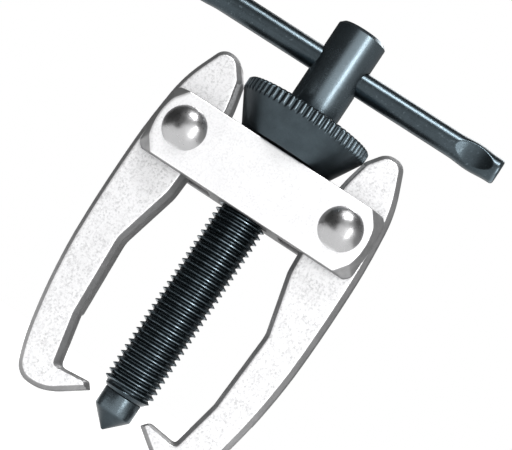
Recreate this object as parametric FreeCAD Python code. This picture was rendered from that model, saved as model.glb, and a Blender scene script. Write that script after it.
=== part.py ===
"""Two-jaw gear puller with a self-locking cone nut.

A short yoke carries a pressure screw. Two forged jaws hang from rivets in the slots at the
yoke's ends, hooks inward. A black cone nut under the screw's head wedges the jaws' tails
apart, which closes the hooks on the work. A tommy bar through the screw's head turns it, and
the screw presses on a shaft's end through a free-turning point.

Frame: X runs along the yoke, Y from front (-) to back (+), Z up the screw's axis with the
head on top. The origin is on the screw's axis, level with the bottom of the jaws' hooks.
Every length is in millimetres and every angle in degrees.
"""
import FreeCAD, Part

import math
import os

from FreeCAD import Vector

# ---- driving dimensions ------------------------------------------------------------------
# Jaws: distances from the rivet's axis, "in" towards the screw and "out" away from it.
jaw_reach = 57.9            # rivet axis down to the inner corner of the hook
hook_depth = 6.5            # inner corner of the hook down to its bottom
jaw_tail = 20.0             # rivet axis up to the top of the tail
jaw_thickness = 10.0        # front to back
hook_length = 7.0           # inner corner of the hook to the end of its gripping face
hook_tilt = 6.0             # gripping face rises towards its tip by this angle
hook_root_in = 4.9          # inner corner of the hook, inwards
relief_depth = 3.2          # lower jaw is thinner by this much, at the back
relief_height = 18.2        # top of the thinner length, above the bottom of the hook
jaw_bevel = 1.1             # bevel round the front and back faces, seen from the front
jaw_bevel_run = 1.6         # the same bevel, seen from the side
hook_edge_bevel = 0.35      # smaller bevel round the gripping face and the hook's tip
cone_contact_up = 15.7      # corner of the tail that the cone bears on, above the rivet axis
wedge_gap = 0.3             # cone to tail, with the jaws closed

# Yoke
jaw_pitch = 40.2            # rivet to rivet
yoke_end = 7.6              # rivet axis to the end of the yoke
yoke_height = 16.0
yoke_depth = 19.0
yoke_web = 18.3             # solid middle between the two slots
yoke_bottom_drop = 8.6      # rivet axis down to the yoke's bottom
yoke_bevel_depth = 3.4      # how far back the bevelled ends reach from the front and back
yoke_bevel_end = 1.1        # bevel at the middle of an end
yoke_bevel_corner_x = 3.3   # bevel at a corner, along the yoke
yoke_bevel_corner_z = 3.3   # bevel at a corner, up and down
yoke_end_crown = 0.85       # bulge of the bevelled end face outline
yoke_corner = 1.3           # corner chamfer of the full outline
slot_side_gap = 0.25        # jaw to slot wall, each side

# Rivets
rivet_shank = 6.0           # diameter
rivet_head = 10.0           # diameter
rivet_head_height = 2.3
jaw_rivet_clearance = 0.06  # radial, lets the jaw swing

# Pressure screw
thread_size = 12.0          # diameter over the crests
thread_pitch = 1.5
thread_depth_ratio = 0.6134 # depth of a metric thread, in pitches
screw_run_clearance = 0.08  # radial, crest to the bores of the yoke and the cone nut
head_rise = 21.7            # cone nut's top to the top of the head
screw_lead_chamfer = 1.4    # at the bottom end of the thread
head_chamfer = 0.8
thread_end_below_nut_top = 1.2
cross_hole_drop = 9.95      # top of the head down to the tommy bar's axis
cross_hole_clearance = 0.2  # radial

# Free-turning point in the screw's end
point_lift = 0.3            # tip above the bottom of the hooks
point_size = 8.9            # diameter
point_length = 8.6          # tip to shoulder
point_cone = 90.0           # full angle of the tip
point_tip_flat = 0.5        # diameter of the blunted tip
point_shank = 5.0           # diameter of the hidden shank
point_shank_length = 7.5
point_shank_chamfer = 0.4
point_groove_depth = 0.35
point_groove_width = 1.4
point_groove_up = 1.1       # shoulder to the groove's lower side
point_clearance = 0.06      # radial, shank in the screw's end
point_end_gap = 0.1         # shoulder to the screw's end face
point_lip_gap = 0.2         # the screw's lip to each side of the groove
point_top_gap = 0.3         # shank to the end of its bore

# Cone nut
nut_gap = 0.4               # yoke's top to the nut's bottom
nut_size = 31.4             # diameter of the rim
nut_cone_height = 7.8
nut_rim_height = 2.6
nut_cone = 30.0             # side of the cone from the screw's axis
nut_edge = 0.55             # chamfer of the rim's top edge
serration_count = 64
serration_depth = 0.42
serration_share = 0.5       # of the spacing that a groove takes up
serration_run_out = 0.6     # grooves run down onto the cone by this much

# Tommy bar
bar_size = 6.0              # diameter
bar_length = 83.0
bar_end_chamfer = 0.7
dimple_length = 9.2
dimple_depth = 0.95
dimple_from_end = 1.9
dimple_spread = 0.85        # how far the pressing spreads the bar, in all
swell_length_ratio = 1.1    # spread length, in dimple lengths
swell_depth_ratio = 0.97    # spread metal stays inside the bar, front to back

# Working values
cutter_over = 1.0           # cutters reach past a surface by this much
flow_share = 0.46           # of the shorter side that a flowing corner takes up
serration_mouth_over = 0.3  # the serration cutter reaches out past the rim by this much

# ---- places that follow from them --------------------------------------------------------
jaw_drop = jaw_reach + hook_depth
rivet_z = jaw_drop
rivet_x = jaw_pitch / 2
yoke_length = jaw_pitch + 2 * yoke_end
yoke_z0 = rivet_z - yoke_bottom_drop
yoke_z1 = yoke_z0 + yoke_height
slot_width = jaw_thickness + 2 * slot_side_gap
nut_z0 = yoke_z1 + nut_gap
nut_rim_z = nut_z0 + nut_cone_height
nut_z1 = nut_rim_z + nut_rim_height
nut_rim = nut_size / 2
nut_foot = nut_rim - nut_cone_height * math.tan(math.radians(nut_cone))
tip_z = point_lift
screw_z0 = tip_z + point_length + point_end_gap
screw_z1 = nut_z1 + head_rise
bar_z = screw_z1 - cross_hole_drop
bore_radius = thread_size / 2 + screw_run_clearance

Z_AXIS = Vector(0, 0, 1)


# ---- helpers -----------------------------------------------------------------------------
def corner_arc(before, corner, after, radius):
    """Arc that rounds a corner; returns its start, middle and end points.

    With no radius given, the arc takes nearly half of the shorter side, so that a row of
    such corners makes one flowing curve.
    """
    to_before = (before - corner).normalize()
    to_after = (after - corner).normalize()
    half = to_before.getAngle(to_after) / 2
    setback = flow_share * min((before - corner).Length, (after - corner).Length)
    if radius is not None:
        setback = min(setback, radius / math.tan(half))
    radius = setback * math.tan(half)
    bisector = (to_before + to_after).normalize()
    middle = corner + bisector * (radius / math.sin(half) - radius)
    return corner + to_before * setback, middle, corner + to_after * setback


def rounded_outline(corners):
    """Closed wire through corners given as (point, radius); radius 0 leaves it sharp."""
    edges = []
    count = len(corners)
    bends = []
    for i, (point, radius) in enumerate(corners):
        before = corners[i - 1][0]
        after = corners[(i + 1) % count][0]
        if radius == 0:
            bends.append((point, None, point))
        else:
            bends.append(corner_arc(before, point, after, radius))
    for i, (start, middle, end) in enumerate(bends):
        previous_end = bends[i - 1][2]
        if (start - previous_end).Length > 1e-4:
            edges.append(Part.LineSegment(previous_end, start).toShape())
        if middle is not None:
            edges.append(Part.Arc(start, middle, end).toShape())
    return Part.Wire(edges)


def turned(profile):
    """Solid of revolution about Z from (radius, z) points."""
    points = [Vector(r, 0, z) for r, z in profile]
    face = Part.Face(Part.makePolygon(points + points[:1]))
    return face.revolve(Vector(0, 0, 0), Z_AXIS, 360)


def cylinder_along_y(radius, y0, y1, x, z):
    return Part.makeCylinder(radius, y1 - y0, Vector(x, y0, z), Vector(0, 1, 0))


def mirrored_x(shape):
    """The same piece on the other side of the screw."""
    return shape.mirror(Vector(0, 0, 0), Vector(1, 0, 0))


# ---- yoke --------------------------------------------------------------------------------
def yoke_outline(y, end_in, corner_x, corner_z, crown):
    """Outline of the yoke at depth y: its ends are end_in short of the full length."""
    end = yoke_length / 2 - end_in
    half_height = yoke_height / 2
    middle_z = yoke_z0 + half_height
    shoulder = half_height - corner_z

    def place(x, up):
        return Vector(x, y, middle_z + up)

    edges = []
    for side in (1, -1):
        top = place(side * (end - crown - corner_x), side * half_height)
        upper = place(side * (end - crown), side * shoulder)
        lower = place(side * (end - crown), -side * shoulder)
        bottom = place(side * (end - crown - corner_x), -side * half_height)
        next_top = place(-side * (end - crown - corner_x), -side * half_height)
        edges.append(Part.LineSegment(top, upper).toShape())
        edges.append(Part.Arc(upper, place(side * end, 0), lower).toShape())
        edges.append(Part.LineSegment(lower, bottom).toShape())
        edges.append(Part.LineSegment(bottom, next_top).toShape())
    return Part.Wire(edges)


def make_yoke():
    face_y = yoke_depth / 2
    full_y = face_y - yoke_bevel_depth
    full_end = (0.0, yoke_corner, yoke_corner, 0.2)
    face_end = (yoke_bevel_end, yoke_bevel_corner_x - yoke_end_crown,
                yoke_bevel_corner_z, yoke_end_crown)
    body = Part.Face(yoke_outline(-full_y, *full_end)).extrude(Vector(0, 2 * full_y, 0))
    for side in (-1, 1):
        bevelled = Part.makeLoft([yoke_outline(side * full_y, *full_end),
                                  yoke_outline(side * face_y, *face_end)], True, True)
        body = body.fuse(bevelled)

    slot_length = yoke_length / 2
    cut_height = yoke_height + 2 * cutter_over
    cut_z0 = yoke_z0 - cutter_over
    slot = Part.makeBox(slot_length, slot_width, cut_height,
                        Vector(yoke_web / 2, -slot_width / 2, cut_z0))
    bore = Part.makeCylinder(bore_radius, cut_height, Vector(0, 0, cut_z0))
    body = body.cut(slot).cut(mirrored_x(slot)).cut(bore)
    for x in (-rivet_x, rivet_x):
        body = body.cut(cylinder_along_y(rivet_shank / 2, -yoke_depth, yoke_depth, x, rivet_z))
    return body.removeSplitter()


def make_rivet(side):
    """Headed at both ends; the shank fills the yoke's ears and the jaw swings on it."""
    x = side * rivet_x
    face_y = yoke_depth / 2
    shank = cylinder_along_y(rivet_shank / 2, -face_y, face_y, x, rivet_z)
    head_radius = rivet_head / 2
    dome_radius = (head_radius ** 2 + rivet_head_height ** 2) / (2 * rivet_head_height)
    rivet = shank
    for end in (-1, 1):
        centre_y = end * (face_y + rivet_head_height - dome_radius)
        dome = Part.makeSphere(dome_radius, Vector(x, centre_y, rivet_z))
        y0, y1 = sorted((end * face_y, end * (face_y + rivet_head_height + cutter_over)))
        head = dome.common(cylinder_along_y(head_radius, y0, y1, x, rivet_z))
        rivet = rivet.fuse(head)
    return rivet.removeSplitter()


# ---- jaws --------------------------------------------------------------------------------
def inset_corners(corners, bevels):
    """Move each side of a closed outline inwards by its own bevel, and meet them again."""
    count = len(corners)
    moved = []
    for i in range(count):
        start = corners[i][0]
        end = corners[(i + 1) % count][0]
        direction = (end - start).normalize()
        inwards = Vector(direction.z, 0, -direction.x)
        moved.append((start + inwards * bevels[i], direction))
    result = []
    for i in range(count):
        point_a, along_a = moved[i - 1]
        point_b, along_b = moved[i]
        gap = point_b - point_a
        cross = along_a.x * along_b.z - along_a.z * along_b.x
        run = (gap.x * along_b.z - gap.z * along_b.x) / cross
        result.append((point_a + along_a * run, corners[i][1]))
    return result


def make_right_jaw():
    """Forged jaw. Its outline is given from the rivet's axis: out from the screw, and up."""
    def at(out, up):
        return Vector(rivet_x + out, 0, rivet_z + up)

    flow = None             # rounded as far as the sides allow
    tip_in = hook_root_in + hook_length
    tip_up = -jaw_reach + hook_length * math.tan(math.radians(hook_tilt))
    bevel = jaw_bevel
    edge = hook_edge_bevel
    slope = math.radians(nut_cone)
    contact_rise = rivet_z + cone_contact_up - nut_z0
    cone_radius = min(nut_rim, nut_foot + contact_rise * math.tan(slope))
    cone_contact_in = rivet_x - cone_radius - wedge_gap / math.cos(slope)
    # corner, its radius, and the bevel of the side that follows it
    rows = [
        (at(-hook_root_in, -jaw_reach), 1.2, bevel),
        (at(-2.4, -jaw_drop + relief_height), 4, bevel),
        (at(-1.4, -jaw_reach + 30.3), 7, bevel),
        (at(-4.95, -yoke_bottom_drop - 4.9), 6, bevel),
        (at(-5.4, -6.0), 20, bevel),
        (at(-5.9, cone_contact_up - 7.9), 30, bevel),
        (at(-cone_contact_in, cone_contact_up), 1.0, bevel),
        (at(-0.9, jaw_tail), flow, bevel),
        (at(3.5, jaw_tail), flow, bevel),
        (at(7.6, jaw_tail - 10.0), flow, bevel),
        (at(8.9, -4.0), flow, bevel),
        (at(9.0, -20.0), flow, bevel),
        (at(8.5, -jaw_drop + 30.4), flow, bevel),
        (at(7.0, -jaw_drop + 18.4), flow, bevel),
        (at(4.7, -jaw_drop + 7.4), flow, bevel),
        (at(1.8, -jaw_drop), flow, bevel),
        (at(-5.2, -jaw_drop), flow, bevel),
        (at(-tip_in - 1.3, tip_up - 1.5), 0, edge),
        (at(-tip_in, tip_up), 0, edge),
    ]
    corners = [(point, radius) for point, radius, _ in rows]
    inner_corners = inset_corners(corners, [row[2] for row in rows])
    half = jaw_thickness / 2
    waist = half - jaw_bevel_run

    def outline_at(places, y):
        wire = rounded_outline(places)
        wire.translate(Vector(0, y, 0))
        return wire

    jaw = Part.Face(outline_at(corners, -waist)).extrude(Vector(0, 2 * waist, 0))
    for side in (-1, 1):
        jaw = jaw.fuse(Part.makeLoft([outline_at(corners, side * waist),
                                      outline_at(inner_corners, side * half)], True, True))

    # the back of the hook's end is stepped down, with the same bevel down to the new face
    relief = Part.makeBox(jaw_pitch, relief_depth + cutter_over, relief_height + cutter_over,
                          Vector(0, half - relief_depth, -cutter_over))
    hole = cylinder_along_y(rivet_shank / 2 + jaw_rivet_clearance, -half, half,
                            rivet_x, rivet_z)
    return jaw.cut(relief).cut(hole).removeSplitter()


# ---- screw, point, nut and bar -----------------------------------------------------------
def thread_profile(z0, z1):
    """Crest and root corners of 60 degree ring grooves, one per pitch, from z0 up to z1."""
    crest = thread_size / 2
    root = crest - thread_depth_ratio * thread_pitch
    root_flat = thread_pitch / 4
    crest_flat = thread_pitch / 8
    flank_rise = (thread_pitch - root_flat - crest_flat) / 2
    points = []
    for i in range(int((z1 - z0) / thread_pitch)):
        z = z0 + i * thread_pitch
        points += [(crest, z), (root, z + flank_rise), (root, z + flank_rise + root_flat),
                   (crest, z + thread_pitch - crest_flat)]
    return points


def make_screw():
    """Threaded rod with a plain head of the same diameter and a cross hole for the bar."""
    radius = thread_size / 2
    thread_z0 = screw_z0 + screw_lead_chamfer
    thread_z1 = nut_z1 - thread_end_below_nut_top
    rod = turned([(0, screw_z0), (radius - screw_lead_chamfer, screw_z0)]
                 + thread_profile(thread_z0, thread_z1)
                 + [(radius, thread_z1), (radius, screw_z1 - head_chamfer),
                    (radius - head_chamfer, screw_z1), (0, screw_z1)])
    hole_radius = bar_size / 2 + cross_hole_clearance
    hole = Part.makeCylinder(hole_radius, 2 * thread_size, Vector(-thread_size, 0, bar_z),
                             Vector(1, 0, 0))
    return rod.cut(hole).cut(point_socket())


def point_socket():
    """Blind bore in the screw's end, with a lip that keeps the point's grooved shank in."""
    radius = point_shank / 2 + point_clearance
    lip_radius = radius - point_groove_depth + point_clearance
    shoulder_z = tip_z + point_length
    lip_z0 = shoulder_z + point_groove_up + point_lip_gap
    lip_z1 = shoulder_z + point_groove_up + point_groove_width - point_lip_gap
    top_z = shoulder_z + point_shank_length + point_top_gap
    return turned([(0, shoulder_z), (radius, shoulder_z), (radius, lip_z0),
                   (lip_radius, lip_z0), (lip_radius, lip_z1), (radius, lip_z1),
                   (radius, top_z), (0, top_z + radius / 2)])


def make_point():
    """Hardened point: a blunted cone, a plain collar, and a shank that turns in the screw."""
    radius = point_size / 2
    flat = point_tip_flat / 2
    cone_height = (radius - flat) / math.tan(math.radians(point_cone / 2))
    shank = point_shank / 2
    chamfer = point_shank_chamfer
    shoulder_z = tip_z + point_length
    groove_z0 = shoulder_z + point_groove_up
    groove_z1 = groove_z0 + point_groove_width
    top_z = shoulder_z + point_shank_length
    return turned([(0, tip_z), (flat, tip_z), (radius, tip_z + cone_height),
                   (radius, shoulder_z), (shank, shoulder_z), (shank, groove_z0),
                   (shank - point_groove_depth, groove_z0),
                   (shank - point_groove_depth, groove_z1), (shank, groove_z1),
                   (shank, top_z - chamfer), (shank - chamfer, top_z), (0, top_z)])


def make_cone_nut():
    """Cone that wedges the jaws' tails apart, under a serrated rim for the fingers."""
    rim = nut_rim
    nut = turned([(bore_radius, nut_z0), (nut_foot, nut_z0), (rim, nut_rim_z),
                  (rim, nut_z1 - nut_edge), (rim - nut_edge, nut_z1), (bore_radius, nut_z1)])
    height = nut_rim_height + serration_run_out + cutter_over
    root = Vector(rim - serration_depth, 0, nut_rim_z - serration_run_out)
    half_width = math.pi * rim / serration_count * serration_share
    widening = (serration_depth + serration_mouth_over) / serration_depth
    mouth = root + Vector(serration_depth * widening, 0, 0)
    across = Vector(0, half_width * widening, 0)
    notch = Part.Face(Part.makePolygon([root, mouth + across, mouth - across, root]))
    notch = notch.extrude(Vector(0, 0, height))
    notches = []
    for i in range(serration_count):
        notch_copy = notch.copy()
        notch_copy.rotate(Vector(0, 0, 0), Z_AXIS, 360 / serration_count * i)
        notches.append(notch_copy)
    return nut.cut(Part.makeCompound(notches))


def make_bar():
    """Tommy bar, pressed in near both ends so that it can't slide out of the head."""
    radius = bar_size / 2
    half = bar_length / 2
    chamfer = bar_end_chamfer
    profile = turned([(0, -half), (radius - chamfer, -half), (radius, -half + chamfer),
                      (radius, half - chamfer), (radius - chamfer, half), (0, half)])
    profile.rotate(Vector(0, 0, 0), Vector(0, 1, 0), 90)
    bar = profile
    punch_radius = ((dimple_length / 2) ** 2 + dimple_depth ** 2) / (2 * dimple_depth)
    spread_radius = radius + dimple_spread / 2
    for side in (-1, 1):
        x = side * (half - dimple_from_end - dimple_length / 2)
        swell = Part.makeSphere(1.0)
        stretch = FreeCAD.Matrix()
        stretch.scale(swell_length_ratio * dimple_length / 2, radius * swell_depth_ratio,
                      spread_radius)
        swell = swell.transformGeometry(stretch)
        swell.translate(Vector(x, 0, 0))
        punch = Part.makeCylinder(punch_radius, 4 * radius,
                                  Vector(x, dimple_depth - radius - punch_radius, -2 * radius))
        bar = bar.fuse(swell).cut(punch)
    bar.translate(Vector(0, 0, bar_z))
    return bar


# ---- the assembly ------------------------------------------------------------------------
def make_parts():
    right_jaw = make_right_jaw()
    return {
        "yoke": make_yoke(),
        "left_rivet": make_rivet(-1),
        "right_rivet": make_rivet(1),
        "left_jaw": mirrored_x(right_jaw),
        "right_jaw": right_jaw,
        "centre_screw": make_screw(),
        "swivel_point": make_point(),
        "cone_nut": make_cone_nut(),
        "t_bar": make_bar(),
    }


os.makedirs("parts", exist_ok=True)
for name, shape in make_parts().items():
    shape.exportStep(f"parts/{name}.step")
    print(name, len(shape.Solids), shape.isValid(), round(shape.Volume, 2), shape.BoundBox)
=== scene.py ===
"""Looks of a two-jaw gear puller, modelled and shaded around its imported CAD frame."""
import math

import bpy
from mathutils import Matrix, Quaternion, Vector


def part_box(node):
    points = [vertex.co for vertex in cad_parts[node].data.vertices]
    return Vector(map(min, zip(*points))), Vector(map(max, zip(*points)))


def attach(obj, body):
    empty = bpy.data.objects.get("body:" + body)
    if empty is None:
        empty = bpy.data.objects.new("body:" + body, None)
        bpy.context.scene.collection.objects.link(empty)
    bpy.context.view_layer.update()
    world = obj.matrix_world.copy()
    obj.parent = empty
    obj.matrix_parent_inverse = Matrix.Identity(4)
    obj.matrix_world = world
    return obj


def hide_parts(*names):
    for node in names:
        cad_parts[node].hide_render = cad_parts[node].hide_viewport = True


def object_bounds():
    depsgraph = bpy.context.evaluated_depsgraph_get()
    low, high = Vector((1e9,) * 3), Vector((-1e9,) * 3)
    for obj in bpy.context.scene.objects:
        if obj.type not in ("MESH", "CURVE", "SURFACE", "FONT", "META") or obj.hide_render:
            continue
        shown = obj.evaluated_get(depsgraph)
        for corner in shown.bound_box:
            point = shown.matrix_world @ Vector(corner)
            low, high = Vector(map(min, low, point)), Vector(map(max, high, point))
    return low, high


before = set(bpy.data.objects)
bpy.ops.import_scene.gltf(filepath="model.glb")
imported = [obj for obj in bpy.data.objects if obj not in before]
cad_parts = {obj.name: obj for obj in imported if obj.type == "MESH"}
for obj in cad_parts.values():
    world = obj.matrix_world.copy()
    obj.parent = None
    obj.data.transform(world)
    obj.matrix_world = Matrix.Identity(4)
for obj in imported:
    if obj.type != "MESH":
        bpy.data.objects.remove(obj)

bl_info = {
    "name": "Two-Jaw Gear Puller",
    "version": (1, 0, 0),
    "blender": (4, 5, 0),
    "location": "3D View > Sidebar > Puller",
    "description": "Models and finishes the pieces of a small two-jaw gear puller",
    "category": "Object",
}

MM = 0.001
NEAR = 0.0001 * MM      # points closer than this count as one
SAME_PLACE = 0.01 * MM   # corners this close to a height or a rim lie on it
CAD_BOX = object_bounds()
SIDE_SHADE = 0.30           # painted shade: colour on bevels and sides, against the colour on the faces
UNDER_SHADE = 0.11          # painted shade on undersides, darker still
SHADE_TONE = "painted_shade_tone"     # painted shade: 0 on the flat front and back, 1 on the sides, 2 underneath


# ---- sizes read from the frame -----------------------------------------------------------
def node_size(name):
    """Lowest corner, highest corner and extent of a CAD node at rest."""
    low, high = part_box(name)
    low, high = Vector(low), Vector(high)
    return low, high, high - low


SCREW_LOW, SCREW_HIGH, SCREW_SIZE = node_size("centre_screw")
POINT_LOW, POINT_HIGH, POINT_SIZE = node_size("swivel_point")
NUT_LOW, NUT_HIGH, NUT_SIZE = node_size("cone_nut")
BAR_LOW, BAR_HIGH, BAR_SIZE = node_size("t_bar")
YOKE_HIGH = node_size("yoke")[1]
RIVET_HIGH, RIVET_SIZE = node_size("right_rivet")[1:]

# ---- sizes that the frame's boxes do not show --------------------------------------------
THREAD_TOP = NUT_HIGH.z - 1.2 * MM      # the thread ends inside the nut
THREAD_FLANK = math.radians(30)
THREAD_STEPS = 56           # faces round one turn
THREAD_RUN_OUT = 1.6        # turns over which the thread grows shallow at its top
THREAD_RUN_IN = 1.37        # turns modelled below the end, then cut off
LEAD_CHAMFER = 1.4 * MM
CROSS_HOLE_RADIUS = 3.2 * MM
CROSS_HOLE_CUTTER = 20 * MM
POINT_SHANK_RADIUS = 2.5 * MM
POINT_TIP_RADIUS = 0.25 * MM
POINT_GAP = 0.1 * MM        # its shoulder to the screw's end
POINT_EDGE = 0.22 * MM
NUT_CONE_HEIGHT = 7.8 * MM
NUT_CONE_INSET = 4.5033 * MM            # rim to foot
NUT_CONE = math.radians(30)
NUT_EDGE = 0.55 * MM
NUT_BORE = 6.08 * MM
NUT_EDGE_ROUND = 0.12 * MM
RIVET_SHANK_RADIUS = 3.0 * MM
BAR_RADIUS = 3.0 * MM
BAR_END_CHAMFER = 0.7 * MM
DIMPLE_FROM_END = 1.9 * MM
DIMPLE_MARGIN = 0.8 * MM    # the fine cuts begin this far before a dimple
DIMPLE_CUTS = 46
DIMPLE_SWELL = 1.1          # length of the spread metal, in dimple lengths
DIMPLE_SPREAD = 0.10        # the pressed ends grow up and down by this share

FLOOR_SIZE = 0.44
FRONT_ZONE = Vector((0.34, -0.94, -0.02))    # middle of the bright zone, from the object
WARM_SIDE = Vector((0.75, 0.10, -0.60))      # the lighter side of the room
OBJECT_CENTRE = (Vector(CAD_BOX[0]) + Vector(CAD_BOX[1])) / 2


# ---- settings a user would change --------------------------------------------------------
def length(name, description, default, low=0.0):
    return bpy.props.FloatProperty(name=name, description=description, default=default,
                                   min=low, precision=5, unit="LENGTH")


def colour(name, description, default):
    return bpy.props.FloatVectorProperty(name=name, description=description, size=3,
                                         default=default, min=0.0, max=1.0, subtype="COLOR")


class PullerSizes(bpy.types.PropertyGroup):
    """Sizes of the details that the frame leaves open."""
    edge_voxel: length("Edge fineness", "Mesh spacing on the forged and milled pieces",
                       0.26 * MM)
    edge_rounds: bpy.props.IntProperty(name="Edge rounding", default=4, min=0, max=20,
                                       description="Smoothing passes over forged edges")
    thread_pitch: length("Thread pitch", "Rise of the screw's thread in one turn", 1.5 * MM)
    thread_depth: length("Thread depth", "Crest to root of the screw's thread", 0.92 * MM)
    head_chamfer: length("Head chamfer", "Chamfer round the top of the head", 0.8 * MM)
    serrations: bpy.props.IntProperty(name="Serrations", default=64, min=12, max=200,
                                      description="Grooves round the cone nut's rim")
    serration_depth: length("Serration depth", "Depth of the rim's grooves", 0.42 * MM)
    dimple_length: length("Dimple length", "Length of the pressed dimples of the bar",
                          9.2 * MM)
    dimple_depth: length("Dimple depth", "Depth of the pressed dimples of the bar",
                         0.95 * MM)


class PullerColours(bpy.types.PropertyGroup):
    """Colours of the finishes and of the stage."""
    plate: colour("Plate", "Matt zinc-nickel plate of the yoke", (0.86, 0.86, 0.87))
    forging: colour("Forging", "Plated forging skin of the jaws", (0.84, 0.84, 0.85))
    rivet: colour("Rivet", "Bright plated rivet domes", (0.80, 0.80, 0.81))
    oxide: colour("Black oxide", "Oiled black oxide where it is thick",
                  (0.050, 0.066, 0.076))
    rubbed: colour("Rubbed oxide", "Black oxide rubbed thin on edges and crests",
                   (0.32, 0.40, 0.45))
    floor: colour("Floor", "Studio floor and backdrop", (1.0, 1.0, 1.0))


class PullerStage(bpy.types.PropertyGroup):
    """Where the camera stands and how bright the lights are."""
    azimuth: bpy.props.FloatProperty(name="Azimuth", default=math.radians(6.2),
                                     subtype="ANGLE",
                                     description="Camera to the right of the front")
    elevation: bpy.props.FloatProperty(name="Elevation", default=math.radians(-3.6),
                                       subtype="ANGLE",
                                       description="Camera above the object's middle")
    roll: bpy.props.FloatProperty(name="Roll", default=math.radians(33.57),
                                  subtype="ANGLE",
                                  description="Turn of the camera about its own axis")
    distance: length("Distance", "Camera to the aim point", 0.400)
    aim_x: length("Aim across", "Aim point to the right of the screw", 3.46 * MM, -1.0)
    aim_z: length("Aim height", "Aim point above the floor", 55.85 * MM)
    lens: bpy.props.FloatProperty(name="Lens", description="Focal length", default=128.4,
                                  subtype="DISTANCE_CAMERA")
    floor_glow: bpy.props.FloatProperty(name="Floor glow", default=0.90,
                                        description="Evenly lit part of the floor")
    key_power: bpy.props.FloatProperty(name="Key light", default=4.0, subtype="POWER",
                                       description="Soft light in front and above")
    front_light: bpy.props.FloatProperty(name="Front light", default=1.34,
                                         description="Broad bright zone round the camera")
    light_side: bpy.props.FloatProperty(name="Light side", default=0.36,
                                        description="Room on the right and low down")
    dark_side: bpy.props.FloatProperty(name="Dark side", default=0.045,
                                       description="Room on the left and high up")
    backdrop: bpy.props.FloatProperty(name="Backdrop", default=1.0,
                                      description="Brightness of the plain background")


GROUPS = (PullerSizes, PullerColours, PullerStage)


# ---- shader writing ----------------------------------------------------------------------
class Signal:
    """A shader socket that takes part in Python expressions."""

    def __init__(self, finish, socket):
        self.finish = finish
        self.socket = socket

    def math(self, operation, other, swapped=False):
        pair = (other, self) if swapped else (self, other)
        return self.finish.node("ShaderNodeMath", {"operation": operation},
                                {0: pair[0], 1: pair[1]})

    def __add__(self, other):
        return self.math("ADD", other)

    __radd__ = __add__

    def __sub__(self, other):
        return self.math("SUBTRACT", other)

    def __rsub__(self, other):
        return self.math("SUBTRACT", other, swapped=True)

    def __mul__(self, other):
        return self.math("MULTIPLY", other)

    def step(self, low, high, start=0.0, end=1.0):
        """Smooth ramp from start to end while this value goes from low to high."""
        return self.finish.node("ShaderNodeMapRange",
                                {"interpolation_type": "SMOOTHSTEP", "clamp": True},
                                {"Value": self, "From Min": low, "From Max": high,
                                 "To Min": start, "To Max": end})


class Finish:
    """One node-based material, written as expressions."""

    def __init__(self, name):
        self.material = bpy.data.materials.new(name)
        self.material.use_nodes = True
        self.tree = self.material.node_tree
        self.shader = self.tree.nodes["Principled BSDF"]
        self.place = self.node("ShaderNodeTexCoord", {}, {}, "Object")

    @classmethod
    def of_tree(cls, tree):
        """Writes into a node tree that is already there."""
        writer = cls.__new__(cls)
        writer.tree = tree
        return writer

    def node(self, kind, settings, inputs, output=0):
        """Adds a node with its settings and its inputs' values or links."""
        made = self.tree.nodes.new(kind)
        for key, value in settings.items():
            setattr(made, key, value)
        for key, value in inputs.items():
            self.feed(made.inputs[key], value)
        return Signal(self, made.outputs[output])

    def feed(self, socket, value):
        if isinstance(value, Signal):
            self.tree.links.new(value.socket, socket)
        elif socket.type == "RGBA":
            socket.default_value = (*value[:3], 1.0)
        else:
            socket.default_value = value

    def noise(self, size, detail=2.0, roughness=0.5, stretch=None):
        """Noise whose lumps are about size across, in metres."""
        place = self.place
        if stretch is not None:
            place = self.node("ShaderNodeVectorMath", {"operation": "MULTIPLY"},
                              {0: self.place, 1: stretch})
        return self.node("ShaderNodeTexNoise", {},
                         {"Vector": place, "Scale": 1.0 / size, "Detail": detail,
                          "Roughness": roughness}, "Fac")

    def attribute(self, name):
        """A value stored on the mesh."""
        return self.node("ShaderNodeAttribute", {"attribute_name": name}, {}, "Fac")

    def axis(self, letter):
        """Object coordinate along X, Y or Z."""
        return self.node("ShaderNodeSeparateXYZ", {}, {"Vector": self.place}, letter)

    def radius(self):
        """Distance from the screw's axis."""
        flat = self.node("ShaderNodeVectorMath", {"operation": "MULTIPLY"},
                         {0: self.place, 1: (1.0, 1.0, 0.0)})
        return self.node("ShaderNodeVectorMath", {"operation": "LENGTH"}, {0: flat}, "Value")

    def blend(self, factor, first, second):
        """Colour between first and second."""
        return self.node("ShaderNodeMix", {"data_type": "RGBA"},
                         {0: factor, 6: first, 7: second}, 2)

    def set(self, **values):
        for key, value in values.items():
            self.feed(self.shader.inputs[key.replace("_", " ")], value)

    def relief(self, height, depth):
        """Bump from a height of 0 to 1 over a depth in metres."""
        normal = self.node("ShaderNodeBump", {}, {"Strength": 1.0, "Distance": depth,
                                                  "Height": height}, "Normal")
        self.feed(self.shader.inputs["Normal"], normal)


def shade_of(colour_value, factor):
    return tuple(min(1.0, channel * factor) for channel in colour_value)


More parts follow.
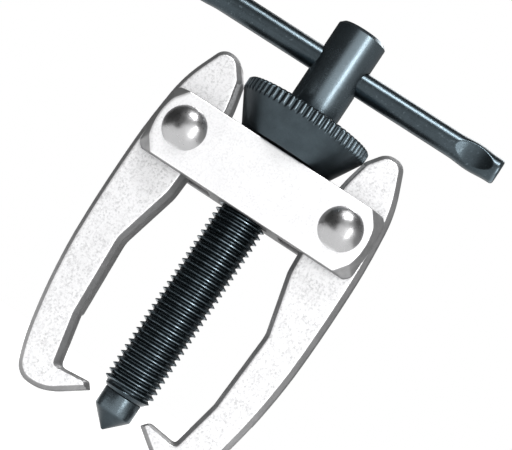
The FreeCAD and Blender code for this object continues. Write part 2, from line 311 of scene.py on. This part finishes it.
def plated_finish(name, base, grain_size, grain_depth, mottle):
    """Blasted and plated steel: fine grain and faint stains, with painted shade on bevels,
    sides and undersides.
    """
    finish = Finish(name)
    grain = finish.noise(grain_size, 4.0, 0.62)
    coarse = finish.noise(grain_size * 7, 3.0, 0.6)
    stain = finish.noise(11 * MM, 3.0, 0.55).step(0.40, 0.75)
    pits = finish.noise(grain_size * 1.6, 3.0, 0.7).step(0.42, 0.68)
    patchy = coarse.step(0.34, 0.64) * 0.6 + 0.4
    shadow = pits * patchy * mottle
    # painted shade: bevels and sides darker than the front and back faces
    side = finish.attribute(SHADE_TONE).step(0.04, 0.30)
    face = finish.blend(stain, base, shade_of(base, 0.93))
    # painted shade: undersides and inside faces darker still
    under = finish.attribute(SHADE_TONE).step(0.45, 1.35)
    speckled = finish.blend(shadow, face, shade_of(base, 0.50))
    # the painted shade colour, laid over the face colour on sides and undersides
    shaded_colour = finish.blend(under, shade_of(base, SIDE_SHADE), shade_of(base, UNDER_SHADE))
    finish.set(Base_Color=finish.blend(side * (0.80 + coarse * 0.3), speckled, shaded_colour),
               Metallic=0.70,
               Roughness=0.34 + grain * 0.14 + stain * 0.05 + shadow * 0.1 + side * 0.06)
    finish.relief(grain * 0.6 + coarse * 0.4 - pits * 0.25, grain_depth)
    return finish.material


def rivet_finish(colours):
    """Bright dome with the faint dents of the rivet set, and painted shade round its rim."""
    finish = Finish("bright_rivet_plate")
    dents = finish.noise(3.4 * MM, 1.0, 0.4)
    haze = finish.noise(0.6 * MM, 4.0, 0.65)
    # painted shade: the dome darkens towards its rim as its normal leans away from the front
    rim = finish.attribute(SHADE_TONE).step(0.20, 0.37)
    face = finish.blend(haze.step(0.35, 0.70), shade_of(colours.rivet, 0.82), colours.rivet)
    finish.set(Base_Color=finish.blend(rim, face, shade_of(colours.rivet, 0.50)),
               Metallic=1.0, Roughness=0.22 + haze * 0.14)
    finish.relief(dents * 0.8 + haze * 0.05, 0.25 * MM)
    return finish.material


def oxide_finish(name, colours, rub, tone=1.0, gloss=0.30, texture=0.03, ring_size=None):
    """Oiled black oxide; rub is a mask of 0 to 1 where it has worn thin."""
    finish = Finish(name)
    speckle = finish.noise(0.20 * MM, 3.0, 0.65)
    cloud = finish.noise(5 * MM, 3.0, 0.6).step(0.3, 0.75)
    worn = rub(finish)
    dark = finish.blend(cloud, shade_of(colours.oxide, tone),
                        shade_of(colours.oxide, 1.35 * tone))
    grainy = finish.blend(speckle.step(0.42, 0.66) * 0.3, dark,
                          shade_of(colours.oxide, 0.55 * tone))
    finish.set(Base_Color=finish.blend(worn * (0.35 + speckle * 1.1), grainy,
                                       colours.rubbed),
               Metallic=0.95,
               Roughness=gloss + speckle * 0.06 + cloud * 0.04 - worn * 0.03)
    height = speckle * 0.5 + cloud * 0.2
    if ring_size is not None:
        rings = finish.noise(ring_size, 2.0, 0.5, stretch=(0.02, 0.02, 1.0))
        height = height + rings * 0.9
    finish.relief(height, texture * MM)
    return finish.material


# ---- modelling helpers -------------------------------------------------------------------
def deselect():
    if bpy.context.object is not None and bpy.context.object.mode != "OBJECT":
        bpy.ops.object.mode_set(mode="OBJECT")
    bpy.ops.object.select_all(action="DESELECT")


def pick(piece):
    """Makes a piece the only selected and active one."""
    deselect()
    piece.select_set(True)
    bpy.context.view_layer.objects.active = piece


def start_edit(piece):
    pick(piece)
    bpy.ops.object.mode_set(mode="EDIT")
    bpy.ops.mesh.select_all(action="DESELECT")
    bpy.ops.object.mode_set(mode="OBJECT")


def edit_whole(piece):
    """Enters edit mode with everything selected."""
    pick(piece)
    bpy.ops.object.mode_set(mode="EDIT")
    bpy.ops.mesh.select_all(action="SELECT")


def select_faces(piece, test):
    """Enters edit mode with just the faces whose centre and normal pass the test."""
    start_edit(piece)
    for face in piece.data.polygons:
        face.select = test(face.center, face.normal)
    bpy.ops.object.mode_set(mode="EDIT")
    bpy.ops.mesh.select_mode(type="FACE")


def select_edges(piece, test):
    """Enters edit mode with just the edges whose two ends pass the test."""
    start_edit(piece)
    corners = piece.data.vertices
    for edge in piece.data.edges:
        edge.select = test(corners[edge.vertices[0]].co, corners[edge.vertices[1]].co)
    bpy.ops.object.mode_set(mode="EDIT")
    bpy.ops.mesh.select_mode(type="EDGE")


def end_edit():
    bpy.ops.object.mode_set(mode="OBJECT")


def cut(piece, place, direction, **settings):
    """Cuts a whole piece with a plane."""
    edit_whole(piece)
    bpy.ops.mesh.bisect(plane_co=place, plane_no=direction, threshold=NEAR, **settings)
    end_edit()


def extrude_by(offset):
    bpy.ops.mesh.extrude_region_move(TRANSFORM_OT_translate={"value": offset})


def resize_about(factors, centre):
    bpy.ops.transform.resize(value=factors, center_override=centre)


def settle(piece, name, body, node, material):
    """Names a finished piece, applies its place and ties it to the frame."""
    pick(piece)
    bpy.ops.object.transform_apply(location=True, rotation=True, scale=True)
    piece.name = name
    piece.data.name = name
    piece.data.materials.clear()
    piece.data.materials.append(material)
    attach(piece, body)
    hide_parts(node)


def apply_modifier(piece, kind, **settings):
    pick(piece)
    modifier = piece.modifiers.new(kind.title(), kind)
    for key, value in settings.items():
        setattr(modifier, key, value)
    bpy.ops.object.modifier_apply(modifier=modifier.name)


def recalculate_normals(piece):
    edit_whole(piece)
    bpy.ops.mesh.remove_doubles(threshold=0.0005 * MM)
    bpy.ops.mesh.normals_make_consistent(inside=False)
    end_edit()


def smooth_by_angle(piece, degrees):
    pick(piece)
    bpy.ops.object.shade_smooth_by_angle(angle=math.radians(degrees))


def nowhere(corner):
    return False


def store_painted_shade(piece, unshaded=nowhere, deep_shaded=nowhere):
    """Stores the painted shade of each point: how far its normal leans from front and back,
    and more on undersides.

    Unshaded places get no painted shade, and deep shaded ones the darkest painted shade.
    """
    tones = []
    for corner in piece.data.vertices:
        tone = 1.0 - abs(corner.normal.y)
        tone += max(0.0, -corner.normal.z) * tone
        if unshaded(corner):
            tone = 0.0
        elif deep_shaded(corner):
            tone = 2.0
        tones.append(tone)
    stored = piece.data.attributes.new(SHADE_TONE, "FLOAT", "POINT")
    stored.data.foreach_set("value", tones)


def softened_copy(node, sizes, rounds):
    """Copy of a CAD node with its edges rounded over, as forging and blasting leave them."""
    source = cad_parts[node]
    copy = bpy.data.objects.new(node + "_copy", source.data.copy())
    bpy.context.scene.collection.objects.link(copy)
    recalculate_normals(copy)
    apply_modifier(copy, "REMESH", mode="VOXEL", voxel_size=sizes.edge_voxel)
    apply_modifier(copy, "SMOOTH", factor=0.5, iterations=rounds)
    pick(copy)
    bpy.ops.object.shade_smooth()
    return copy


# ---- the pieces --------------------------------------------------------------------------
class PULLER_OT_yoke(bpy.types.Operator):
    """Milled yoke with bevelled ends"""
    bl_idname = "puller.yoke"
    bl_label = "Yoke"

    def execute(self, context):
        scene = context.scene
        sizes = scene.puller_sizes
        piece = softened_copy("yoke", sizes, 2 * sizes.edge_rounds)
        inside = YOKE_HIGH.y - 1.5 * MM
        # painted shade: the faces inside the yoke, between its cheeks, get the darkest
        # painted shade
        store_painted_shade(piece, deep_shaded=lambda corner: abs(corner.co.y) < inside
                        and abs(corner.normal.y) > 0.7)
        plate = plated_finish("plated_yoke", scene.puller_colours.plate,
                              0.30 * MM, 0.025 * MM, 0.32)
        settle(piece, "yoke_body", "yoke", "yoke", plate)
        return {"FINISHED"}


class PULLER_OT_jaws(bpy.types.Operator):
    """Two forged jaws"""
    bl_idname = "puller.jaws"
    bl_label = "Jaws"

    def execute(self, context):
        scene = context.scene
        skin = plated_finish("plated_forging_skin", scene.puller_colours.forging,
                             0.36 * MM, 0.045 * MM, 0.72)
        for side in ("left", "right"):
            node = side + "_jaw"
            sizes = scene.puller_sizes
            piece = softened_copy(node, sizes, sizes.edge_rounds)
            towards_screw = -1 if side == "right" else 1
            # painted light: the tails' inner faces above the yoke are kept as bright as the
            # front faces, without the painted side shade
            store_painted_shade(piece, unshaded=lambda corner:
                            corner.co.z > YOKE_HIGH.z - 2 * MM
                            and corner.normal.x * towards_screw > 0.8)
            settle(piece, side + "_forged_jaw", node, node, skin)
        return {"FINISHED"}


class PULLER_OT_rivets(bpy.types.Operator):
    """Two rivets with a formed dome at each end"""
    bl_idname = "puller.rivets"
    bl_label = "Rivets"

    def execute(self, context):
        scene = context.scene
        material = rivet_finish(scene.puller_colours)
        face_y = YOKE_HIGH.y
        head = RIVET_SIZE.x / 2
        rise = RIVET_HIGH.y - face_y
        dome = (head ** 2 + rise ** 2) / (2 * rise)
        for side in ("left", "right"):
            low, high, _ = node_size(side + "_rivet")
            x, z = (low.x + high.x) / 2, (low.z + high.z) / 2
            halves = []
            for end in (-1, 1):
                centre = (x, end * (face_y + rise - dome), z)
                bpy.ops.mesh.primitive_uv_sphere_add(segments=72, ring_count=96,
                                                     radius=dome, location=centre)
                half = bpy.context.object
                bpy.ops.object.transform_apply(location=True, rotation=True, scale=True)
                cut(half, (x, end * face_y, z), (0, end, 0), clear_inner=True, use_fill=True)
                recalculate_normals(half)
                halves.append(half)
            bpy.ops.mesh.primitive_cylinder_add(vertices=72, radius=RIVET_SHANK_RADIUS,
                                                depth=2 * face_y, location=(x, 0, z),
                                                rotation=(math.pi / 2, 0, 0))
            shank = bpy.context.object
            deselect()
            for part in (*halves, shank):
                part.select_set(True)
            bpy.context.view_layer.objects.active = shank
            bpy.ops.object.join()
            smooth_by_angle(shank, 40)
            store_painted_shade(shank)
            settle(shank, side + "_domed_rivet", "yoke",
                   side + "_rivet", material)
        return {"FINISHED"}


class PULLER_OT_screw(bpy.types.Operator):
    """Pressure screw with a right-hand thread, run out under its plain head"""
    bl_idname = "puller.screw"
    bl_label = "Pressure screw"

    def execute(self, context):
        scene = context.scene
        sizes = scene.puller_sizes
        piece = self.thread(sizes)
        self.head(piece, sizes)
        self.cross_hole(piece)
        smooth_by_angle(piece, 38)
        crest = SCREW_SIZE.x / 2

        def rub(finish):
            on_head = finish.axis("Z").step(NUT_HIGH.z - 2 * MM, NUT_HIGH.z)
            ridge = finish.radius().step(crest - 0.35 * MM, crest - 0.05 * MM)
            patchy = finish.noise(2.2 * MM).step(0.35, 0.65) * 0.40 + 0.18
            return ridge * (1.0 - on_head) * patchy + on_head * 0.36

        material = oxide_finish("black_oxide_screw", scene.puller_colours, rub,
                                tone=0.85, gloss=0.22, texture=0.016,
                                ring_size=0.12 * MM)
        settle(piece, "threaded_screw", "centre_screw", "centre_screw",
               material)
        return {"FINISHED"}

    @staticmethod
    def thread(sizes):
        """Threaded rod, cut off flat at both ends."""
        pitch, depth = sizes.thread_pitch, sizes.thread_depth
        crest = SCREW_SIZE.x / 2
        start = SCREW_LOW.z - THREAD_RUN_IN * pitch
        turns = int((THREAD_TOP - start) / pitch) + 3
        flank = depth * math.tan(THREAD_FLANK)
        crest_flat = pitch / 8
        root_flat = pitch - crest_flat - 2 * flank
        bpy.ops.mesh.primitive_plane_add(size=0.1 * MM, location=(0, 0, 0))
        piece = bpy.context.object
        bpy.ops.object.mode_set(mode="EDIT")
        bpy.ops.mesh.select_all(action="SELECT")
        bpy.ops.mesh.merge(type="CENTER")
        bpy.ops.transform.translate(value=(crest, 0, start))
        for step in ((0, 0, crest_flat), (-depth, 0, flank), (0, 0, root_flat / 2),
                     (0, 0, root_flat / 2), (depth, 0, flank)):
            extrude_by(step)
        end_edit()
        apply_modifier(piece, "SCREW", axis="Z", angle=2 * math.pi, screw_offset=pitch,
                       iterations=turns, steps=THREAD_STEPS, render_steps=THREAD_STEPS,
                       use_merge_vertices=False, use_normal_calculate=True)
        recalculate_normals(piece)
        for height, side in ((SCREW_LOW.z, -1), (THREAD_TOP, 1)):
            cut(piece, (0, 0, height), (0, 0, side), clear_outer=True, use_fill=True)
        lead = crest - LEAD_CHAMFER
        run_out = THREAD_RUN_OUT * pitch
        for corner in piece.data.vertices:
            radius = math.hypot(corner.co.x, corner.co.y)
            if radius < MM:
                continue
            wanted = min(radius, lead + (corner.co.z - SCREW_LOW.z))
            rise = (corner.co.z - (THREAD_TOP - run_out)) / run_out
            if rise > 0:
                wanted += (crest - wanted) * rise ** 1.5
            corner.co.x *= wanted / radius
            corner.co.y *= wanted / radius
        recalculate_normals(piece)
        return piece

    @staticmethod
    def head(piece, sizes):
        """Draws the rod's flat top up into the plain head and chamfers it."""
        chamfer = sizes.head_chamfer
        crest = SCREW_SIZE.x / 2
        select_faces(piece, lambda centre, normal:
                     normal.z > 0.9 and centre.z > THREAD_TOP - SAME_PLACE)
        extrude_by((0, 0, SCREW_HIGH.z - chamfer - THREAD_TOP))
        extrude_by((0, 0, chamfer))
        factor = (crest - chamfer) / crest
        resize_about((factor, factor, 1), (0, 0, SCREW_HIGH.z))
        end_edit()
        recalculate_normals(piece)

    @staticmethod
    def cross_hole(piece):
        hole_z = (BAR_LOW.z + BAR_HIGH.z) / 2
        bpy.ops.mesh.primitive_cylinder_add(vertices=64, radius=CROSS_HOLE_RADIUS,
                                            depth=CROSS_HOLE_CUTTER, location=(0, 0, hole_z),
                                            rotation=(0, math.pi / 2, 0))
        drill = bpy.context.object
        apply_modifier(piece, "BOOLEAN", operation="DIFFERENCE", solver="EXACT",
                       object=drill)
        bpy.data.objects.remove(drill)


class PULLER_OT_point(bpy.types.Operator):
    """Turned point in the screw's end"""
    bl_idname = "puller.point"
    bl_label = "Point"

    def execute(self, context):
        scene = context.scene
        radius = POINT_SIZE.x / 2
        shoulder = SCREW_LOW.z - POINT_GAP
        cone = radius - POINT_TIP_RADIUS
        bpy.ops.mesh.primitive_cylinder_add(
            vertices=96, radius=radius, depth=shoulder - POINT_LOW.z - cone,
            location=(0, 0, (shoulder + POINT_LOW.z + cone) / 2))
        piece = bpy.context.object
        bpy.ops.object.transform_apply(location=True, rotation=True, scale=True)
        select_faces(piece, lambda centre, normal: normal.z < -0.9)
        extrude_by((0, 0, -cone))
        factor = POINT_TIP_RADIUS / radius
        resize_about((factor, factor, 1), (0, 0, POINT_LOW.z))
        end_edit()
        select_faces(piece, lambda centre, normal: normal.z > 0.9)
        bpy.ops.mesh.inset(thickness=radius - POINT_SHANK_RADIUS)
        extrude_by((0, 0, POINT_HIGH.z - shoulder))
        end_edit()
        edge = POINT_LOW.z + cone
        select_edges(piece, lambda a, b: (
            abs(a.z - b.z) < 1e-6 and a.xy.length > radius * 0.98
            and min(abs(a.z - edge), abs(a.z - shoulder)) < SAME_PLACE))
        bpy.ops.mesh.bevel(offset=POINT_EDGE, segments=3, affect="EDGES")
        end_edit()
        recalculate_normals(piece)
        smooth_by_angle(piece, 35)

        def rub(finish):
            return finish.axis("Z").step(edge - 0.4 * MM, edge + 0.6 * MM) * 0.22

        material = oxide_finish("black_oxide_turned_point", scene.puller_colours, rub,
                                tone=0.75, gloss=0.24, texture=0.016,
                                ring_size=0.10 * MM)
        settle(piece, "turned_point", "swivel_point",
               "swivel_point", material)
        return {"FINISHED"}


class PULLER_OT_nut(bpy.types.Operator):
    """Cone nut with a serrated rim"""
    bl_idname = "puller.nut"
    bl_label = "Cone nut"

    def execute(self, context):
        scene = context.scene
        sizes = scene.puller_sizes
        rim = NUT_SIZE.x / 2
        foot = rim - NUT_CONE_INSET
        rim_z = NUT_LOW.z + NUT_CONE_HEIGHT
        bpy.ops.mesh.primitive_cylinder_add(
            vertices=sizes.serrations * 4, radius=rim, depth=NUT_HIGH.z - NUT_EDGE - rim_z,
            location=(0, 0, (NUT_HIGH.z - NUT_EDGE + rim_z) / 2))
        piece = bpy.context.object
        bpy.ops.object.transform_apply(location=True, rotation=True, scale=True)
        select_faces(piece, lambda centre, normal: normal.z > 0.9)
        extrude_by((0, 0, NUT_EDGE))
        factor = (rim - NUT_EDGE) / rim
        resize_about((factor, factor, 1), (0, 0, NUT_HIGH.z))
        bpy.ops.mesh.inset(thickness=rim - NUT_EDGE - NUT_BORE)
        bpy.ops.mesh.delete(type="FACE")
        end_edit()
        select_faces(piece, lambda centre, normal: normal.z < -0.9)
        extrude_by((0, 0, NUT_LOW.z - rim_z))
        resize_about((foot / rim, foot / rim, 1), (0, 0, NUT_LOW.z))
        bpy.ops.mesh.inset(thickness=foot - NUT_BORE)
        bpy.ops.mesh.delete(type="FACE")
        end_edit()
        near_bore = NUT_BORE * 1.05
        select_edges(piece, lambda a, b: a.xy.length < near_bore and b.xy.length < near_bore)
        bpy.ops.mesh.bridge_edge_loops()
        end_edit()
        self.cut_serrations(piece, sizes, rim, rim_z)
        recalculate_normals(piece)
        apply_modifier(piece, "BEVEL", width=NUT_EDGE_ROUND, segments=2, limit_method="ANGLE",
                       angle_limit=math.radians(28))
        smooth_by_angle(piece, 32)
        apply_modifier(piece, "WEIGHTED_NORMAL", keep_sharp=True)

        def rub(finish):
            ridge = finish.radius().step(rim - 0.30 * MM, rim - 0.02 * MM)
            lip = finish.axis("Z").step(rim_z - 0.5 * MM, rim_z + 0.4 * MM)
            return ridge * lip * 0.55

        material = oxide_finish("black_oxide_cone_nut", scene.puller_colours, rub,
                                tone=0.80, gloss=0.32, texture=0.022,
                                ring_size=0.14 * MM)
        settle(piece, "serrated_cone_nut", "cone_nut", "cone_nut",
               material)
        return {"FINISHED"}

    @staticmethod
    def cut_serrations(piece, sizes, rim, rim_z):
        """Pushes every other pair of the rim's corners inwards, down onto the cone."""
        count, depth = sizes.serrations, sizes.serration_depth
        cone_drop = depth / math.tan(NUT_CONE)
        for corner in piece.data.vertices:
            radius = math.hypot(corner.co.x, corner.co.y)
            turn = math.atan2(corner.co.y, corner.co.x) / (2 * math.pi) * count
            in_groove = (round(turn * 4) % 4) in (1, 2)
            if radius < rim - NUT_EDGE - SAME_PLACE or not in_groove:
                continue
            factor = (radius - depth) / radius
            corner.co.x *= factor
            corner.co.y *= factor
            if abs(corner.co.z - rim_z) < SAME_PLACE:
                corner.co.z -= cone_drop


class PULLER_OT_bar(bpy.types.Operator):
    """Tommy bar with a pressed dimple near each end"""
    bl_idname = "puller.bar"
    bl_label = "Tommy bar"

    def execute(self, context):
        scene = context.scene
        sizes = scene.puller_sizes
        half = BAR_SIZE.x / 2
        middle = Vector((0, 0, (BAR_LOW.z + BAR_HIGH.z) / 2))
        bpy.ops.mesh.primitive_cylinder_add(vertices=96, radius=BAR_RADIUS, depth=2 * half,
                                            location=middle, rotation=(0, math.pi / 2, 0))
        piece = bpy.context.object
        bpy.ops.object.transform_apply(location=True, rotation=True, scale=True)
        select_edges(piece, lambda a, b:
                     abs(a.x - b.x) < 1e-6 and abs(abs(a.x) - half) < SAME_PLACE)
        bpy.ops.mesh.bevel(offset=BAR_END_CHAMFER, segments=4, affect="EDGES")
        end_edit()
        inner = half - DIMPLE_FROM_END - sizes.dimple_length
        for side in (-1, 1):
            for i in range(DIMPLE_CUTS):
                along = (half - inner) * i / (DIMPLE_CUTS - 1)
                cut(piece, (side * (inner - DIMPLE_MARGIN + along), 0, 0), (1, 0, 0))
        self.press(piece, sizes, half, middle.z)
        recalculate_normals(piece)
        apply_modifier(piece, "SMOOTH", factor=0.5, iterations=1)
        smooth_by_angle(piece, 50)

        def rub(finish):
            end = finish.node("ShaderNodeMath", {"operation": "ABSOLUTE"},
                              {0: finish.axis("X")})
            flecks = finish.noise(0.7 * MM, 3.0, 0.6).step(0.58, 0.74) * 0.20
            return end.step(half - 1.2 * MM, half - 0.2 * MM) * 0.35 + flecks

        material = oxide_finish("black_oxide_drawn_bar", scene.puller_colours, rub,
                                tone=0.78, gloss=0.24, texture=0.012)
        settle(piece, "dimpled_bar", "t_bar", "t_bar", material)
        return {"FINISHED"}

    @staticmethod
    def press(piece, sizes, half, bar_z):
        """Presses a shallow scoop into the front, and spreads the metal up and down."""
        reach, depth = sizes.dimple_length / 2, sizes.dimple_depth
        punch = (reach ** 2 + depth ** 2) / (2 * depth)
        centre_x = half - DIMPLE_FROM_END - reach
        swell = reach * DIMPLE_SWELL
        for corner in piece.data.vertices:
            along = abs(corner.co.x) - centre_x
            if abs(along) >= swell:
                continue
            spread = math.cos(along / swell * math.pi / 2) ** 2
            up = corner.co.z - bar_z
            corner.co.z = bar_z + up * (1 + DIMPLE_SPREAD * spread)
            scoop_y = -BAR_RADIUS + depth - punch + math.sqrt(punch ** 2 - along ** 2)
            corner.co.y = max(corner.co.y, scoop_y)


class PULLER_OT_stage(bpy.types.Operator):
    """Pale floor, plain room, soft lights and the camera"""
    bl_idname = "puller.stage"
    bl_label = "Stage"

    def execute(self, context):
        scene = context.scene
        scene.view_settings.view_transform = "Standard"
        self.floor(scene)
        self.room(scene)
        self.lights(scene)
        self.camera(scene)
        return {"FINISHED"}

    @staticmethod
    def floor(scene):
        bpy.ops.mesh.primitive_plane_add(size=FLOOR_SIZE, location=(0, 0, 0))
        floor = bpy.context.object
        floor.name = "studio_floor"
        finish = Finish("studio_floor_paint")
        white = scene.puller_colours.floor
        finish.set(Base_Color=shade_of(white, 0.5), Roughness=0.9, Emission_Color=white,
                   Emission_Strength=scene.puller_stage.floor_glow)
        floor.data.materials.append(finish.material)

    @staticmethod
    def room(scene):
        """Even pale room to look at; in reflections, one broad bright zone in front."""
        stage = scene.puller_stage
        world = bpy.data.worlds.new("studio_room")
        scene.world = world
        world.use_nodes = True
        room = Finish.of_tree(world.node_tree)

        def towards(zone):
            direction = room.node("ShaderNodeTexCoord", {}, {}, "Generated")
            return room.node("ShaderNodeVectorMath", {"operation": "DOT_PRODUCT"},
                             {0: direction, 1: zone.normalized()}, "Value")

        front = towards(FRONT_ZONE).step(0.70, 0.92) * stage.front_light
        around = towards(WARM_SIDE).step(-0.4, 0.8, stage.dark_side, stage.light_side)
        seen = room.node("ShaderNodeLightPath", {}, {}, "Is Camera Ray")
        strength = seen * stage.backdrop + (1.0 - seen) * (front + around)
        backing = world.node_tree.nodes["Background"]
        backing.inputs["Color"].default_value = (1, 1, 1, 1)
        room.feed(backing.inputs["Strength"], strength)

    @staticmethod
    def lights(scene):
        power = scene.puller_stage.key_power
        rows = (    # name, place, width and height in metres, power
            ("key_light", (-0.05, -0.42, 0.80), (0.22, 0.22), power * 1.3),
            ("strip_light", (0.60, -0.85, 0.12), (0.16, 0.80), power * 1.0),
            ("back_light", (0.10, 0.70, 0.70), (0.50, 0.50), power * 0.8),
        )
        for name, place, size, energy in rows:
            light = bpy.data.lights.new(name, "AREA")
            light.shape = "RECTANGLE"
            light.size, light.size_y = size
            light.energy = energy
            lamp = bpy.data.objects.new(name, light)
            scene.collection.objects.link(lamp)
            lamp.location = place
            aim = OBJECT_CENTRE - Vector(place)
            lamp.rotation_mode = "QUATERNION"
            lamp.rotation_quaternion = aim.to_track_quat("-Z", "Y")

    @staticmethod
    def camera(scene):
        stage = scene.puller_stage
        data = bpy.data.cameras.new("studio_camera")
        data.lens = stage.lens
        camera = bpy.data.objects.new("studio_camera", data)
        scene.collection.objects.link(camera)
        a, e = stage.azimuth, stage.elevation
        back = Vector((math.sin(a) * math.cos(e), -math.cos(a) * math.cos(e), math.sin(e)))
        aim = Vector((stage.aim_x, 0, stage.aim_z))
        camera.location = aim + back * stage.distance
        camera.rotation_mode = "QUATERNION"
        upright = (-back).to_track_quat("-Z", "Y")
        camera.rotation_quaternion = upright @ Quaternion((0, 0, 1), stage.roll)
        data.clip_start = 0.01
        scene.camera = camera


OPERATORS = (PULLER_OT_yoke, PULLER_OT_jaws, PULLER_OT_rivets, PULLER_OT_screw,
             PULLER_OT_point, PULLER_OT_nut, PULLER_OT_bar, PULLER_OT_stage)


class PULLER_PT_panel(bpy.types.Panel):
    """Lists the puller's pieces and settings"""
    bl_idname = "PULLER_PT_panel"
    bl_label = "Gear Puller"
    bl_space_type = "VIEW_3D"
    bl_region_type = "UI"
    bl_category = "Puller"

    def draw(self, context):
        column = self.layout.column()
        for operator in OPERATORS:
            column.operator(operator.bl_idname)
        for group in (context.scene.puller_sizes, context.scene.puller_colours,
                      context.scene.puller_stage):
            for key in group.__annotations__:
                column.prop(group, key)


CLASSES = (*GROUPS, *OPERATORS, PULLER_PT_panel)


def register():
    for item in CLASSES:
        bpy.utils.register_class(item)
    scene_type = bpy.types.Scene
    scene_type.puller_sizes = bpy.props.PointerProperty(type=PullerSizes)
    scene_type.puller_colours = bpy.props.PointerProperty(type=PullerColours)
    scene_type.puller_stage = bpy.props.PointerProperty(type=PullerStage)


def unregister():
    del bpy.types.Scene.puller_stage
    del bpy.types.Scene.puller_colours
    del bpy.types.Scene.puller_sizes
    for item in reversed(CLASSES):
        bpy.utils.unregister_class(item)


def main():
    register()
    for operator in OPERATORS:
        group, name = operator.bl_idname.split(".")
        getattr(getattr(bpy.ops, group), name)()


if __name__ == "__main__":
    main()
